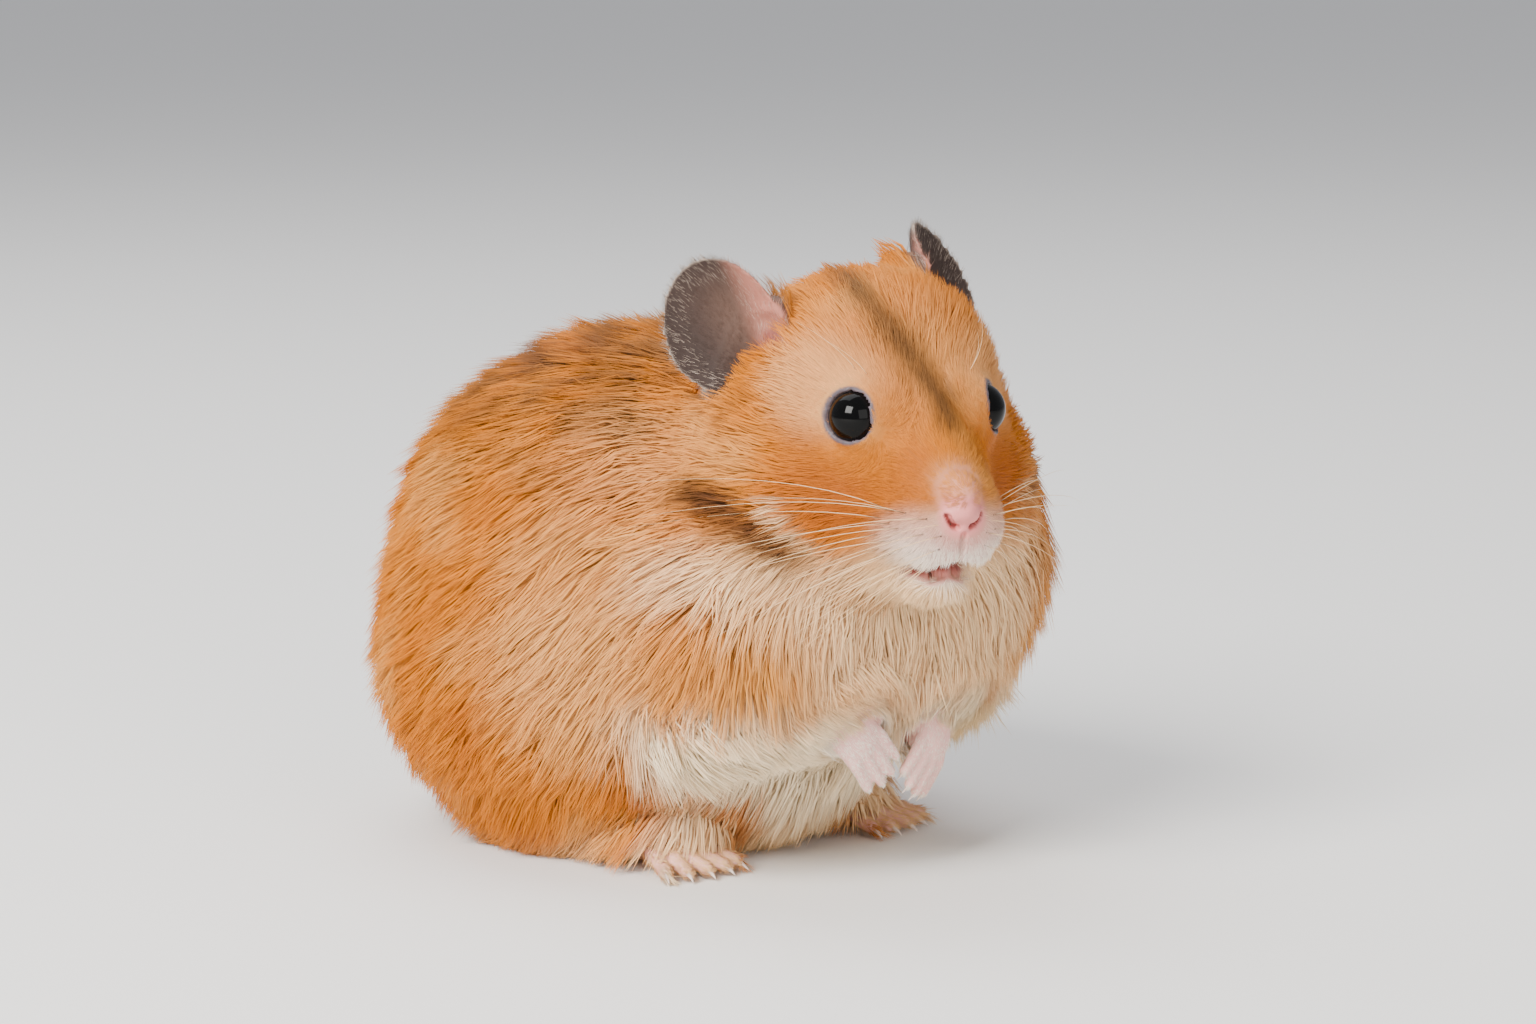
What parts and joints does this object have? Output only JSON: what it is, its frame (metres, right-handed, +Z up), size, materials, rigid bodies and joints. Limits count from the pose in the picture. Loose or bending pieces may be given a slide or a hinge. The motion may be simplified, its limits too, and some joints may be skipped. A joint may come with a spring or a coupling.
{
  "type": "syrian hamster",
  "caption": "Golden hamster sitting hunched with its forepaws held together at its chest and its head turned to one side, as a still life-size figure.",
  "frame": {"origin": "on the floor, on the flat underside of the body, under the middle of the trunk", "axes": "+Z up, the animal faces -Y, its right side is on -X"},
  "size_m": [0.0754, 0.1041, 0.0803],
  "materials": {
    "coat": "soft golden orange fur with cream belly and muzzle",
    "bare_skin": "pale pink bare skin with sparse white hairs",
    "ear_skin": "thin dark grey-brown skin with fine short hairs",
    "eye": "wet glossy black"
  },
  "bodies": {
    "root": {"head": "coat", "neck": "coat", "trunk": "coat", "tail": "bare_skin", "nose": "bare_skin", "ear_left": "ear_skin", "ear_right": "ear_skin", "eye_left": "eye", "eye_right": "eye", "foreleg_left": "coat", "foreleg_right": "coat", "forepaw_left": "bare_skin", "forepaw_right": "bare_skin", "hindleg_left": "coat", "hindleg_right": "coat", "hindfoot_left": "bare_skin", "hindfoot_right": "bare_skin"}
  },
  "joints": []
}
